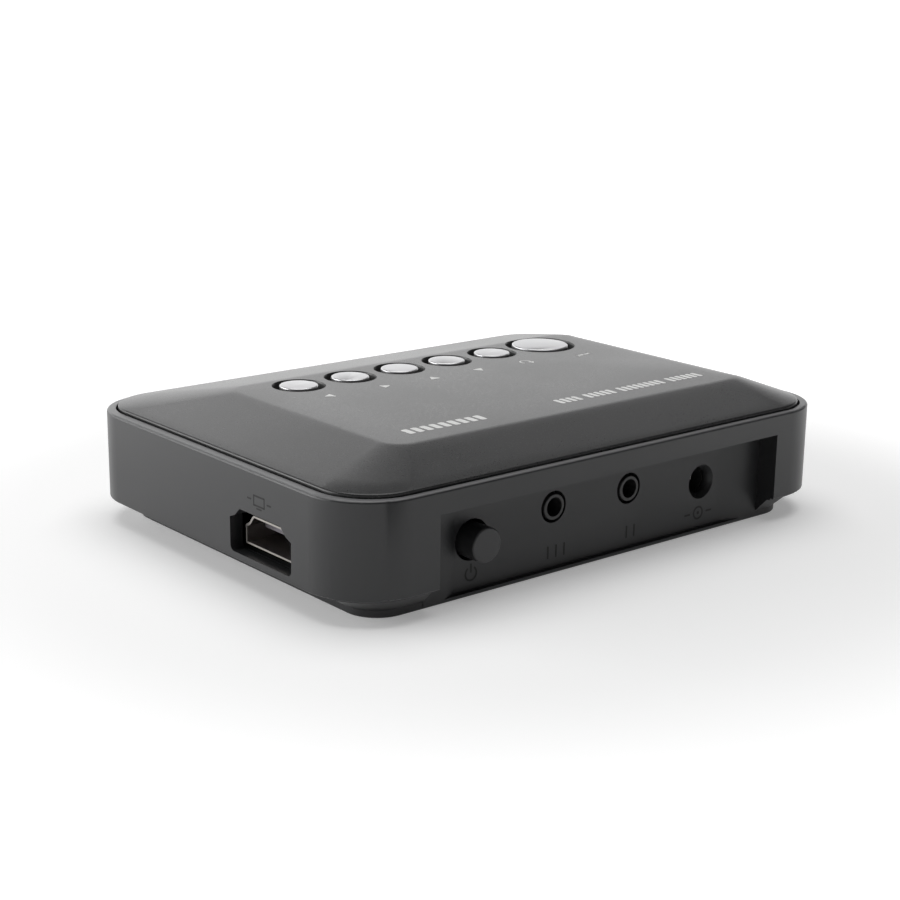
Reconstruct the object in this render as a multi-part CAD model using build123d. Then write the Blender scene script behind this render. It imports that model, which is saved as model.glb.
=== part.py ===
from build123d import *
import math
import os

# A small desk media player: a flat box with a side frame, a bevelled top cover with six
# silver keys, and a bottom cover whose upright panel carries the rear sockets.
# Millimetres, +Z up, origin in the middle of the footprint on the table.
# +Y is the side with the round sockets, +X the side with the display socket.

# ---- casing ------------------------------------------------------------------------
CASE_LENGTH = 120.0
CASE_DEPTH = 88.0
CORNER_RADIUS = 12.5
FRAME_WALL = 2.6
FRAME_BOTTOM_Z = 4.8
FRAME_TOP_Z = 22.15
FRAME_TOP_ROUND = 0.5
FRAME_FOOT_ROUND = 0.3
LIP_THICKNESS_X = 1.9
LIP_THICKNESS_Y = 1.25
LIP_HEIGHT = 1.2
COVER_GROOVE = 0.45

# ---- top cover -----------------------------------------------------------------------
COVER_EDGE_RISE = 0.6
COVER_EDGE_ROUND = 0.4
PLATEAU_Z = 25.3
PLATEAU_INSET_RIGHT = 22.0
PLATEAU_INSET_LEFT = 7.6
PLATEAU_INSET_REAR = 17.2
PLATEAU_INSET_FRONT = 17.0
PLATEAU_CORNER = 4.5
CREASE_ROUND = 9.0
COVER_THICKNESS = 2.0
SKIRT_CLEARANCE = 0.3
SKIRT_THICKNESS = 1.6
SKIRT_DEPTH = 1.6

# ---- bottom cover --------------------------------------------------------------------
FOOT_INSET_SIDES = 6.9
FOOT_INSET_ENDS = 4.5
FOOT_CORNER = 6.5
FOOT_HEIGHT = 1.4
FOOT_ROUND = 0.4
BASE_LIP_INSET = 0.9
BASE_LIP_THICKNESS = 0.4
BEVEL_TOP_INSET = 1.6
BASE_THICKNESS = 2.0
BASE_WALL = 2.0
BASE_RIM_HEIGHT = 1.2
BASE_RIM_THICKNESS = 1.2

# ---- rear recess and socket panel ------------------------------------------------------
RECESS_FROM_RIGHT = 18.2
RECESS_FROM_LEFT = 16.7
RECESS_TOP_Z = 18.0
RECESS_DEPTH = 5.4
RECESS_CHEEK = 1.8
RECESS_SHELF = 1.2
PANEL_THICKNESS = 2.0
PANEL_HEAD_GAP = 0.1
PAD_RISE = 1.0
RECESS_SILL_Z = 0.8
PAD_WIDTH = 4.6
PAD_SLOPE = 5.5

# ---- vents under the frame ------------------------------------------------------------------
VENT_COUNT = 10
VENT_PITCH = 5.35
VENT_LENGTH = 3.0
VENT_REACH = 4.6
VENT_CENTRE_Y = 9.0

# ---- case screws ---------------------------------------------------------------------------
CASE_SCREW_FROM_END = 12.0
CASE_SCREW_FROM_SIDE = 11.0
CASE_SCREW_R = 1.1
CASE_SCREW_HEAD_R = 2.4
CASE_SCREW_HEAD = 1.4
CASE_SCREW_LENGTH = 10.0
CASE_SCREW_SINK = 1.2
BASE_BOSS_R = 3.6
COVER_BOSS_R = 2.8
HEAD_CLEARANCE = 0.3
THREAD_CLEARANCE = 0.03
SHANK_CLEARANCE = 0.3
CROSS_LENGTH = 2.6
CROSS_WIDTH = 0.5
CROSS_DEPTH = 0.6
BOSS_EMBED = 0.5

# ---- top keys --------------------------------------------------------------------------------
KEY_ROW_FROM_FRONT = 23.5
KEY_ROW_FROM_RIGHT = 34.8
LARGE_KEY_FROM_LEFT = 20.8
LARGE_KEY_STEP = 14.0
SMALL_KEY_COUNT = 5
SMALL_KEY_R = 3.85
LARGE_KEY_R = 6.15
KEY_RISE = 0.2
KEY_EDGE_ROUND = 0.3
KEY_GAP = 0.2
KEY_FLANGE = 0.7
KEY_FLANGE_THICKNESS = 1.0
KEY_FLANGE_GAP = 0.3
KEY_TRAVEL = 0.3
KEY_STEM_R = 1.6
KEY_STEM_LENGTH = 0.5
WELL_DEPTH = 1.3
WELL_MARGIN = 1.5
WELL_FLOOR_MARGIN = 1.0

# ---- key board ---------------------------------------------------------------------------------
SWITCH_SIDE = 6.0
SWITCH_HEIGHT = 3.1
SWITCH_ROUND = 0.3
PLUNGER_R = 1.75
PLUNGER_RISE = 0.8
PLUNGER_SUNK = 0.9
PLUNGER_CLEARANCE = 0.05
BOARD_THICKNESS = 1.6
KEY_BOARD_END = 3.0
KEY_BOARD_WIDTH = 15.0
KEY_BOARD_CORNER = 1.0
TONGUE_OUT_LEFT = 11.2
TONGUE_OUT_RIGHT = 9.8
TONGUE_FROM_FRONT = 6.0
KEY_SCREW_OUT = 9.0
LARGE_SCREW_OUT = 9.7
TONGUE_SCREW_FROM_FRONT = 11.0
SMALL_BOSS_R = 1.9
SMALL_SCREW_R = 0.85
SMALL_SCREW_HEAD_R = 1.7
SMALL_SCREW_HEAD = 0.9
SMALL_SCREW_LENGTH = 6.0
BOARD_HOLE_R = 1.1

# ---- main board -----------------------------------------------------------------------------------
MAIN_BOARD_Z = 13.2
MAIN_BOARD_END_GAP = 1.0
MAIN_BOARD_PANEL_GAP = 0.4
MAIN_BOARD_DEPTH = 50.4
MAIN_BOARD_NOTCH = 0.5
BOARD_SCREW_FROM_PANEL = 6.1
BOARD_SCREW_FROM_LEFT = 19.5
BOARD_SCREW_FROM_RIGHT = 16.0
BOARD_SCREW_BEHIND_KEYS = 3.5
BOARD_SCREW_LEFT_X = -29.0

# ---- rear sockets ------------------------------------------------------------------------------------
JACK_A_X = 11.1
JACK_B_X = -7.9
JACK_AXIS_Z = 12.3
JACK_BORE_R = 1.8
JACK_NOSE_R = 2.45
JACK_NOSE_PROUD = 0.2
JACK_HOLE_R = 3.0
JACK_BODY_WIDTH = 6.4
JACK_BODY_DROP = 2.6
JACK_BODY_LENGTH = 11.5
JACK_BORE_LENGTH = 13.0
JACK_BOARD_GAP = 0.3
JACK_EAR = 1.2
JACK_EAR_THICKNESS = 0.5
JACK_EAR_LENGTH = 7.0
SOCKET_SETBACK = 0.2
POWER_FROM_RIGHT = 29.7
POWER_AXIS_Z = 10.0
POWER_KEY_R = 3.2
POWER_HOLE_R = 3.8
POWER_KEY_PROUD = 4.1
POWER_KEY_ROUND = 0.35
POWER_TRAVEL = 2.0
POWER_BODY_WIDTH = 8.0
POWER_BODY_LENGTH = 12.5
POWER_BODY_DROP = 3.6
POWER_BODY_SETBACK = 3.4
POWER_STEM_SIDE = 3.0
POWER_STEM_SUNK = 5.0
POWER_STEM_GAP = 0.05
DC_FROM_LEFT = 32.2
DC_AXIS_Z = 10.0
DC_DISH_R = 3.4
DC_DISH_DEPTH = 1.3
DC_HOLE_R = 2.65
DC_BORE_R = 2.65
DC_BORE_LENGTH = 9.5
DC_PIN_R = 1.0
DC_PIN_LENGTH = 8.6
DC_BODY_WIDTH = 9.0
DC_BODY_LENGTH = 13.0
DC_BODY_DROP = 4.2

# ---- display socket ---------------------------------------------------------------------------------------
DISPLAY_FROM_PANEL = 19.2
DISPLAY_WIDTH = 15.0
DISPLAY_NARROW = 10.2
DISPLAY_HEIGHT = 5.55
DISPLAY_SHOULDER = 3.45
DISPLAY_DEPTH = 11.5
DISPLAY_METAL = 0.35
DISPLAY_IN_WALL = 0.5
DISPLAY_BOARD_GAP = 0.2
DISPLAY_TONGUE_WIDTH = 11.6
DISPLAY_TONGUE_THICKNESS = 0.7
DISPLAY_TONGUE_RISE = 3.1
DISPLAY_TONGUE_SETBACK = 3.0
DISPLAY_TONGUE_ROOT = 3.0
DISPLAY_MARGIN_SIDE = 1.85
DISPLAY_MARGIN_END = 1.35
DISPLAY_CORNER = 1.1

# ---- sockets on the far side -------------------------------------------------------------------------------
USB_FROM_PANEL = 43.1
USB_WIDTH = 13.1
USB_HEIGHT = 5.7
USB_DEPTH = 14.0
USB_METAL = 0.35
USB_TONGUE_WIDTH = 11.1
USB_TONGUE_THICKNESS = 1.9
USB_TONGUE_SETBACK = 1.0
USB_TONGUE_ROOT = 3.0
USB_TONGUE_DROP = 0.4
USB_MARGIN = 0.6
CARD_FROM_PANEL = 21.2
CARD_WIDTH = 25.2
CARD_HEIGHT = 2.9
CARD_DEPTH = 24.0
CARD_METAL = 0.25
CARD_BASE_THICKNESS = 0.5
CARD_BASE_BACK = 3.0
CARD_MARGIN = 0.5
SIDE_SOCKET_SETBACK = 0.2

# ---- remote window ---------------------------------------------------------------------------------------------
WINDOW_FROM_KEY = 1.2
WINDOW_Z = 11.8
WINDOW_WIDTH = 19.0
WINDOW_HEIGHT = 7.0
WINDOW_CLEARANCE = 0.05
WINDOW_FLANGE = 1.0
WINDOW_FLANGE_THICKNESS = 0.8
WINDOW_PROUD = -0.2
RECEIVER_FROM_KEY = 5.7
RECEIVER_WIDTH = 6.0
RECEIVER_THICKNESS = 3.4
RECEIVER_HEIGHT = 7.4
RECEIVER_LENS_R = 2.0
RECEIVER_LENS_PROUD = 0.9
LED_PAST_KEY = 4.3
LED_R = 1.5
LED_LENGTH = 4.2
LED_RIM = 0.3
LED_RIM_LENGTH = 0.8
LED_LEG = 0.5
LED_LEG_SPREAD = 1.27
LED_LEG_BACK = 2.2

# ---- parts on the main board ------------------------------------------------------------------------------------
CHIP_X = 8.0
CHIP_FROM_PANEL = 28.6
CHIP_SIDE = 19.0
CHIP_THICKNESS = 1.5
SINK_SIDE = 24.0
SINK_BASE = 1.6
SINK_HEIGHT = 6.4
SINK_FINS = 7
SINK_FIN_WIDTH = 1.2
MEMORY_X = 28.5
MEMORY_FROM_PANEL = 29.6
MEMORY_WIDTH = 8.0
MEMORY_LENGTH = 11.5
MEMORY_PITCH = 12.6
MEMORY_THICKNESS = 1.1
FLASH_X = -16.0
FLASH_FROM_PANEL = 24.6
FLASH_WIDTH = 12.0
FLASH_LENGTH = 18.0
FLASH_THICKNESS = 1.1
CRYSTAL_X = 8.0
CRYSTAL_FROM_PANEL = 43.8
CRYSTAL_LENGTH = 11.0
CRYSTAL_WIDTH = 4.6
CRYSTAL_HEIGHT = 3.5
COIL_X = -20.0
COIL_FROM_PANEL = 45.3
COIL_PITCH = 11.0
COIL_SIDE = 7.0
COIL_HEIGHT = 3.6
COIL_ROUND = 1.2
CAP_FIRST_X = 25.0
CAP_FROM_PANEL = 46.2
CAP_PITCH = 7.6
CAP_COUNT = 2
CAP_R = 3.1
CAP_HEIGHT = 5.4
CAP_CRIMP = 0.35

# ---- ribbon between the boards -------------------------------------------------------------------------------------
RIBBON_X = -8.0
RIBBON_WIDTH = 9.0
RIBBON_THICKNESS = 0.3
RIBBON_TOP_Z = 21.4
RIBBON_BEND = 1.6
RIBBON_SOCKET_WIDTH = 12.0
RIBBON_SOCKET_DEPTH = 3.0
RIBBON_SOCKET_HEIGHT = 2.0
RIBBON_REACH = 4.4
RIBBON_KEY_EDGE = 2.2

# ---- worked out ------------------------------------------------------------------------------------------------------
WALL_X = CASE_LENGTH / 2
WALL_Y = CASE_DEPTH / 2
INNER_X = WALL_X - FRAME_WALL
INNER_Y = WALL_Y - FRAME_WALL
COVER_INSET_X = LIP_THICKNESS_X + COVER_GROOVE
COVER_INSET_Y = LIP_THICKNESS_Y + COVER_GROOVE
LIP_CORNER = CORNER_RADIUS - (LIP_THICKNESS_X + LIP_THICKNESS_Y) / 2
SEAT_Z = FRAME_TOP_Z - LIP_HEIGHT
COVER_EDGE_Z = FRAME_TOP_Z + COVER_EDGE_RISE
COVER_RISE = PLATEAU_Z - COVER_EDGE_Z
UNDERSIDE_Z = PLATEAU_Z - COVER_THICKNESS
SKIRT_INSET = FRAME_WALL + SKIRT_CLEARANCE
CAVITY_INSET = SKIRT_INSET + SKIRT_THICKNESS
SKIRT_FOOT_Z = SEAT_Z - SKIRT_DEPTH
PANEL_Y = WALL_Y - RECESS_DEPTH
PANEL_BACK_Y = PANEL_Y - PANEL_THICKNESS
RECESS_RIGHT_X = WALL_X - RECESS_FROM_RIGHT
RECESS_LEFT_X = -WALL_X + RECESS_FROM_LEFT
KEY_ROW_Y = -WALL_Y + KEY_ROW_FROM_FRONT
POWER_X = WALL_X - POWER_FROM_RIGHT
DC_X = -WALL_X + DC_FROM_LEFT
DISPLAY_Y = PANEL_BACK_Y - DISPLAY_FROM_PANEL
USB_Y = PANEL_BACK_Y - USB_FROM_PANEL
CARD_Y = PANEL_BACK_Y - CARD_FROM_PANEL
CHIP_Y = PANEL_BACK_Y - CHIP_FROM_PANEL
MEMORY_Y = PANEL_BACK_Y - MEMORY_FROM_PANEL
FLASH_Y = PANEL_BACK_Y - FLASH_FROM_PANEL
CRYSTAL_Y = PANEL_BACK_Y - CRYSTAL_FROM_PANEL
COIL_Y = PANEL_BACK_Y - COIL_FROM_PANEL
CAP_Y = PANEL_BACK_Y - CAP_FROM_PANEL
MAIN_BOARD_END_X = INNER_X - MAIN_BOARD_END_GAP
MAIN_BOARD_REAR_Y = PANEL_BACK_Y - MAIN_BOARD_PANEL_GAP
MAIN_BOARD_FRONT_Y = MAIN_BOARD_REAR_Y - MAIN_BOARD_DEPTH
BASE_RIM_Z = FRAME_BOTTOM_Z + BASE_RIM_HEIGHT
KEY_TOP_Z = PLATEAU_Z + KEY_RISE
KEY_FLANGE_TOP_Z = UNDERSIDE_Z - KEY_FLANGE_GAP
KEY_FLANGE_FOOT_Z = KEY_FLANGE_TOP_Z - KEY_FLANGE_THICKNESS
PLUNGER_TOP_Z = KEY_FLANGE_FOOT_Z - KEY_STEM_LENGTH
SWITCH_TOP_Z = PLUNGER_TOP_Z - PLUNGER_RISE
KEY_BOARD_TOP_Z = SWITCH_TOP_Z - SWITCH_HEIGHT
KEY_BOARD_Z = KEY_BOARD_TOP_Z - BOARD_THICKNESS
KEY_BOARD_FRONT_Y = KEY_ROW_Y - KEY_BOARD_WIDTH / 2
KEY_BOARD_REAR_Y = KEY_ROW_Y + KEY_BOARD_WIDTH / 2
MAIN_BOARD_TOP_Z = MAIN_BOARD_Z + BOARD_THICKNESS
SOCKET_FACE_Y = PANEL_BACK_Y - SOCKET_SETBACK
SCREW_SEAT_Z = CASE_SCREW_SINK + CASE_SCREW_HEAD

KEY_FIRST_X = WALL_X - KEY_ROW_FROM_RIGHT
LARGE_KEY_X = -WALL_X + LARGE_KEY_FROM_LEFT
KEY_PITCH = (KEY_FIRST_X - LARGE_KEY_X - LARGE_KEY_STEP) / (SMALL_KEY_COUNT - 1)
WINDOW_X = KEY_FIRST_X - WINDOW_FROM_KEY
RECEIVER_X = KEY_FIRST_X - RECEIVER_FROM_KEY
LED_X = KEY_FIRST_X + LED_PAST_KEY
TONGUE_FROM_X = KEY_FIRST_X - TONGUE_OUT_LEFT
TONGUE_TO_X = KEY_FIRST_X + TONGUE_OUT_RIGHT
KEYS = [(KEY_FIRST_X - KEY_PITCH * i, SMALL_KEY_R) for i in range(SMALL_KEY_COUNT)]
KEYS.append((LARGE_KEY_X, LARGE_KEY_R))
KEY_SCREWS = [
    (KEY_FIRST_X + KEY_SCREW_OUT, KEY_ROW_Y),
    (LARGE_KEY_X - LARGE_SCREW_OUT, KEY_ROW_Y),
    ((TONGUE_FROM_X + TONGUE_TO_X) / 2, -WALL_Y + TONGUE_SCREW_FROM_FRONT),
]
CASE_SCREWS = [
    (side * (WALL_X - CASE_SCREW_FROM_END), end * (WALL_Y - CASE_SCREW_FROM_SIDE))
    for side in (-1, 1)
    for end in (-1, 1)
]
BOARD_SCREW_REAR_Y = PANEL_BACK_Y - BOARD_SCREW_FROM_PANEL
BOARD_SCREW_FRONT_Y = KEY_BOARD_REAR_Y + BOARD_SCREW_BEHIND_KEYS
MAIN_BOARD_SCREWS = [
    (WALL_X - BOARD_SCREW_FROM_RIGHT, BOARD_SCREW_FRONT_Y),
    ((JACK_A_X + POWER_X) / 2, BOARD_SCREW_REAR_Y),
    (-WALL_X + BOARD_SCREW_FROM_LEFT, BOARD_SCREW_REAR_Y),
    (BOARD_SCREW_LEFT_X, BOARD_SCREW_FRONT_Y),
]


def block(x0, x1, y0, y1, z0, z1):
    """A box given by its two ends along each axis."""
    box = Box(x1 - x0, y1 - y0, z1 - z0)
    return Pos((x0 + x1) / 2, (y0 + y1) / 2, (z0 + z1) / 2) * box


def post(x, y, z0, z1, radius):
    """An upright round post."""
    return Pos(x, y, (z0 + z1) / 2) * Cylinder(radius, z1 - z0)


def rod_y(x, z, y0, y1, radius):
    """A round rod along Y."""
    return Pos(x, (y0 + y1) / 2, z) * Rot(90, 0, 0) * Cylinder(radius, y1 - y0)


def case_outline(inset_x, inset_y, corner, z):
    """The footprint, drawn in from the walls, at one height."""
    return Pos(0, 0, z) * RectangleRounded(CASE_LENGTH - 2 * inset_x, CASE_DEPTH - 2 * inset_y, corner)


def even_outline(inset, z):
    return case_outline(inset, inset, CORNER_RADIUS - inset, z)


def cover_outline(z):
    """The top cover's edge, a groove's width inside the frame's lip."""
    return case_outline(COVER_INSET_X, COVER_INSET_Y, LIP_CORNER - COVER_GROOVE, z)


def plateau_outline(z):
    """The flat top's outline: it lies off centre, further from the display socket's side."""
    length = CASE_LENGTH - PLATEAU_INSET_LEFT - PLATEAU_INSET_RIGHT
    depth = CASE_DEPTH - PLATEAU_INSET_FRONT - PLATEAU_INSET_REAR
    shift_x = (PLATEAU_INSET_LEFT - PLATEAU_INSET_RIGHT) / 2
    shift_y = (PLATEAU_INSET_FRONT - PLATEAU_INSET_REAR) / 2
    return Pos(shift_x, shift_y, z) * RectangleRounded(length, depth, PLATEAU_CORNER)


def underside_at(x, y):
    """Height of the cover's underside over a point, from its four bevels."""
    reaches = [
        (WALL_X - x, PLATEAU_INSET_RIGHT, COVER_INSET_X),
        (WALL_X + x, PLATEAU_INSET_LEFT, COVER_INSET_X),
        (WALL_Y - y, PLATEAU_INSET_REAR, COVER_INSET_Y),
        (WALL_Y + y, PLATEAU_INSET_FRONT, COVER_INSET_Y),
    ]
    shares = [(reach - edge) / (inset - edge) for reach, inset, edge in reaches]
    return UNDERSIDE_Z - COVER_RISE * (1 - min(1.0, min(shares)))


def screw(x, y, seat_z, up, radius, length, head_r, head_h):
    """A pan-head screw whose head rests on seat_z, with its shank pointing up or down."""
    sign = 1 if up else -1
    shank = post(x, y, min(seat_z, seat_z + sign * length), max(seat_z, seat_z + sign * length), radius)
    head = post(x, y, min(seat_z, seat_z - sign * head_h), max(seat_z, seat_z - sign * head_h), head_r)
    crown = head.faces().sort_by(Axis.Z)[0 if up else -1].edges()
    head = fillet(crown, head_h * 0.4)
    slots = Box(CROSS_LENGTH * head_r / CASE_SCREW_HEAD_R, CROSS_WIDTH, 2 * CROSS_DEPTH)
    slots += Rot(0, 0, 90) * slots
    return shank + head - Pos(x, y, seat_z - sign * head_h) * slots


def display_profile(side, end):
    """The display socket's section, wide side down, grown by a margin at its sides and ends."""
    half = DISPLAY_WIDTH / 2 + side
    narrow = DISPLAY_NARROW / 2 + side * 0.6
    middle = (half + narrow) / 2
    shoulder = DISPLAY_SHOULDER + end
    step = (DISPLAY_HEIGHT - DISPLAY_SHOULDER) / 2
    right = [
        (half, -end),
        (half, shoulder),
        (middle, shoulder + step * 0.6),
        (narrow, DISPLAY_HEIGHT + end),
    ]
    left = [(-a, b) for a, b in reversed(right)]
    return make_face(Polyline(*right, *left, close=True))


def display_prism(side, end, x0, x1):
    """That section run along X between two planes, on the socket's own axis."""
    plane = Plane(origin=(x0, DISPLAY_Y, display_foot_z()), x_dir=(0, 1, 0), z_dir=(1, 0, 0))
    return extrude(plane * display_profile(side, end), x1 - x0)


def display_foot_z():
    return MAIN_BOARD_Z - DISPLAY_BOARD_GAP - DISPLAY_HEIGHT


def display_opening():
    cut = display_prism(DISPLAY_MARGIN_SIDE, DISPLAY_MARGIN_END, INNER_X - 1, WALL_X + 1)
    low = cut.edges().filter_by(Axis.X).group_by(Axis.Z)[0]
    return fillet(low, DISPLAY_CORNER)


def window_shape(grow, thickness, y0):
    """The rounded window in the front wall, run along +Y from y0."""
    face = RectangleRounded(WINDOW_WIDTH + 2 * grow, WINDOW_HEIGHT + 2 * grow, WINDOW_HEIGHT * 0.3 + grow)
    plane = Plane(origin=(WINDOW_X, y0, WINDOW_Z), x_dir=(1, 0, 0), z_dir=(0, -1, 0))
    return Pos(0, thickness, 0) * extrude(plane * face, thickness)


# ---- casing pieces -----------------------------------------------------------------------


def make_side_frame():
    outer = extrude(even_outline(0, FRAME_BOTTOM_Z), FRAME_TOP_Z - FRAME_BOTTOM_Z)
    outer = fillet(outer.faces().sort_by(Axis.Z)[-1].edges(), FRAME_TOP_ROUND)
    outer = fillet(outer.faces().sort_by(Axis.Z)[0].edges(), FRAME_FOOT_ROUND)
    outer -= extrude(even_outline(FRAME_WALL, 0), FRAME_TOP_Z + 1)
    outer -= extrude(case_outline(LIP_THICKNESS_X, LIP_THICKNESS_Y, LIP_CORNER, SEAT_Z), FRAME_TOP_Z)
    shelf_left = RECESS_LEFT_X - RECESS_CHEEK
    shelf_right = RECESS_RIGHT_X + RECESS_CHEEK
    shelf_top = RECESS_TOP_Z + RECESS_SHELF
    body = outer + block(shelf_left, shelf_right, PANEL_BACK_Y, INNER_Y, FRAME_BOTTOM_Z, shelf_top)
    body -= block(RECESS_LEFT_X, RECESS_RIGHT_X, PANEL_BACK_Y - 1, WALL_Y + 1, 0, RECESS_TOP_Z)
    body -= block(shelf_left - 1, shelf_right + 1, PANEL_BACK_Y - 1, PANEL_Y, 0, RECESS_TOP_Z)
    body -= display_opening()
    body -= block(
        -WALL_X - 1, -INNER_X + 1,
        USB_Y - USB_WIDTH / 2 - USB_MARGIN, USB_Y + USB_WIDTH / 2 + USB_MARGIN,
        MAIN_BOARD_Z - USB_HEIGHT - USB_MARGIN, MAIN_BOARD_Z + USB_MARGIN,
    )
    body -= block(
        -WALL_X - 1, -INNER_X + 1,
        CARD_Y - CARD_WIDTH / 2 - CARD_MARGIN, CARD_Y + CARD_WIDTH / 2 + CARD_MARGIN,
        MAIN_BOARD_Z - CARD_HEIGHT - CARD_MARGIN, MAIN_BOARD_Z + CARD_MARGIN,
    )
    body -= window_shape(WINDOW_CLEARANCE, FRAME_WALL + 2, -WALL_Y - 1)
    return body


def key_well(x, radius):
    """A shallow dish with a sloping side round a key, over the key's round hole."""
    dish = Cone(radius + WELL_FLOOR_MARGIN, radius + WELL_MARGIN, WELL_DEPTH)
    dish = Pos(x, KEY_ROW_Y, PLATEAU_Z - WELL_DEPTH / 2) * dish
    return dish + post(x, KEY_ROW_Y, UNDERSIDE_Z - 2, PLATEAU_Z + 1, radius + KEY_GAP)


def make_top_cover():
    cover = loft([cover_outline(COVER_EDGE_Z), plateau_outline(PLATEAU_Z)], ruled=True)
    crease = cover.faces().sort_by(Axis.Z)[-1].edges()
    cover = fillet(crease, CREASE_ROUND)
    cover += extrude(cover_outline(SEAT_Z), COVER_EDGE_Z - SEAT_Z)
    cover = fillet(cover.edges().filter_by_position(Axis.Z, COVER_EDGE_Z, COVER_EDGE_Z), COVER_EDGE_ROUND)
    cover += extrude(even_outline(SKIRT_INSET, SKIRT_FOOT_Z), SKIRT_DEPTH)
    hollow_z = SEAT_Z - COVER_THICKNESS / 2
    hollow = loft([even_outline(CAVITY_INSET, hollow_z), plateau_outline(UNDERSIDE_Z)], ruled=True)
    hollow += extrude(even_outline(CAVITY_INSET, SKIRT_FOOT_Z - 1), hollow_z - SKIRT_FOOT_Z + 1)
    cover -= hollow
    for x, y in CASE_SCREWS:
        cover += post(x, y, BASE_RIM_Z, underside_at(x, y) + BOSS_EMBED, COVER_BOSS_R)
        pilot_top = SCREW_SEAT_Z + CASE_SCREW_LENGTH + 1
        cover -= post(x, y, BASE_RIM_Z - 1, pilot_top, CASE_SCREW_R + THREAD_CLEARANCE)
    small = [(x, y, MAIN_BOARD_TOP_Z) for x, y in MAIN_BOARD_SCREWS]
    small += [(x, y, KEY_BOARD_TOP_Z) for x, y in KEY_SCREWS]
    for x, y, foot in small:
        cover += post(x, y, foot, underside_at(x, y) + BOSS_EMBED, SMALL_BOSS_R)
        pilot_top = foot + SMALL_SCREW_LENGTH - BOARD_THICKNESS + 0.3
        cover -= post(x, y, foot - 1, pilot_top, SMALL_SCREW_R + THREAD_CLEARANCE)
    for x, radius in KEYS:
        cover -= key_well(x, radius)
    return cover


def recess_floor_plan(z):
    """The recess seen from above: its end pads stand a little proud of the socket panel."""
    points = [
        (RECESS_LEFT_X, WALL_Y + 1),
        (RECESS_LEFT_X, PANEL_Y + PAD_RISE),
        (RECESS_LEFT_X + PAD_WIDTH, PANEL_Y + PAD_RISE),
        (RECESS_LEFT_X + PAD_WIDTH + PAD_SLOPE, PANEL_Y),
        (RECESS_RIGHT_X - PAD_WIDTH - PAD_SLOPE / 2, PANEL_Y),
        (RECESS_RIGHT_X - PAD_WIDTH, PANEL_Y + PAD_RISE),
        (RECESS_RIGHT_X, PANEL_Y + PAD_RISE),
        (RECESS_RIGHT_X, WALL_Y + 1),
    ]
    return Pos(0, 0, z) * make_face(Polyline(*points, close=True))


def make_bottom_cover():
    foot = case_outline(FOOT_INSET_SIDES, FOOT_INSET_ENDS, FOOT_CORNER, 0)
    base = extrude(foot, FOOT_HEIGHT)
    base = fillet(base.faces().sort_by(Axis.Z)[0].edges(), FOOT_ROUND)
    lip_foot_z = FRAME_BOTTOM_Z - BASE_LIP_THICKNESS
    bevel_top = even_outline(BEVEL_TOP_INSET, lip_foot_z)
    base += loft([Pos(0, 0, FOOT_HEIGHT) * foot, bevel_top], ruled=True)
    base += extrude(even_outline(BASE_LIP_INSET, lip_foot_z), BASE_LIP_THICKNESS)
    low = case_outline(
        FOOT_INSET_SIDES + BASE_WALL, FOOT_INSET_ENDS + BASE_WALL, FOOT_CORNER - BASE_WALL, BASE_THICKNESS
    )
    cavity = loft([low, even_outline(SKIRT_INSET + BASE_RIM_THICKNESS, FRAME_BOTTOM_Z)], ruled=True)
    cheek_left = RECESS_LEFT_X - RECESS_CHEEK
    cheek_right = RECESS_RIGHT_X + RECESS_CHEEK
    cavity -= block(cheek_left, cheek_right, PANEL_BACK_Y, WALL_Y, 0, FRAME_BOTTOM_Z + 1)
    base -= cavity
    rim = extrude(even_outline(SKIRT_INSET, FRAME_BOTTOM_Z), BASE_RIM_HEIGHT)
    rim -= extrude(even_outline(SKIRT_INSET + BASE_RIM_THICKNESS, 0), BASE_RIM_Z + 1)
    rim -= block(cheek_left - 0.5, cheek_right + 0.5, PANEL_BACK_Y, WALL_Y, 0, BASE_RIM_Z + 1)
    base += rim
    panel_top = RECESS_TOP_Z - PANEL_HEAD_GAP
    panel = block(RECESS_LEFT_X, RECESS_RIGHT_X, PANEL_BACK_Y, PANEL_Y + PAD_RISE, RECESS_SILL_Z / 2, panel_top)
    ears = block(cheek_left, cheek_right, PANEL_BACK_Y, PANEL_Y - 0.1, FRAME_BOTTOM_Z - 1, panel_top)
    base += panel + ears
    base -= extrude(recess_floor_plan(RECESS_SILL_Z), FRAME_TOP_Z)
    for x, y in CASE_SCREWS:
        base += post(x, y, 1.0, BASE_RIM_Z - 0.1, BASE_BOSS_R)
        base -= post(x, y, -1, SCREW_SEAT_Z, CASE_SCREW_HEAD_R + HEAD_CLEARANCE)
        base -= post(x, y, -1, BASE_RIM_Z + 1, CASE_SCREW_R + SHANK_CLEARANCE)
    for i in range(VENT_COUNT):
        y = VENT_CENTRE_Y + (i - (VENT_COUNT - 1) / 2) * VENT_PITCH
        inner_x = WALL_X - VENT_REACH
        slot = block(inner_x, WALL_X, y - VENT_LENGTH / 2, y + VENT_LENGTH / 2, -1, FRAME_BOTTOM_Z)
        base -= slot
        base -= mirror(slot, Plane.YZ)
    base -= rod_y(POWER_X, POWER_AXIS_Z, PANEL_BACK_Y - 1, PANEL_Y + 1, POWER_HOLE_R)
    base -= rod_y(JACK_A_X, JACK_AXIS_Z, PANEL_BACK_Y - 1, PANEL_Y + 1, JACK_HOLE_R)
    base -= rod_y(JACK_B_X, JACK_AXIS_Z, PANEL_BACK_Y - 1, PANEL_Y + 1, JACK_HOLE_R)
    base -= rod_y(DC_X, DC_AXIS_Z, PANEL_BACK_Y - 1, PANEL_Y + 1, DC_HOLE_R)
    dish = Rot(90, 0, 0) * Cone(DC_DISH_R, DC_HOLE_R, DC_DISH_DEPTH)
    base -= Pos(DC_X, PANEL_Y - DC_DISH_DEPTH / 2, DC_AXIS_Z) * dish
    return base


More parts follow.
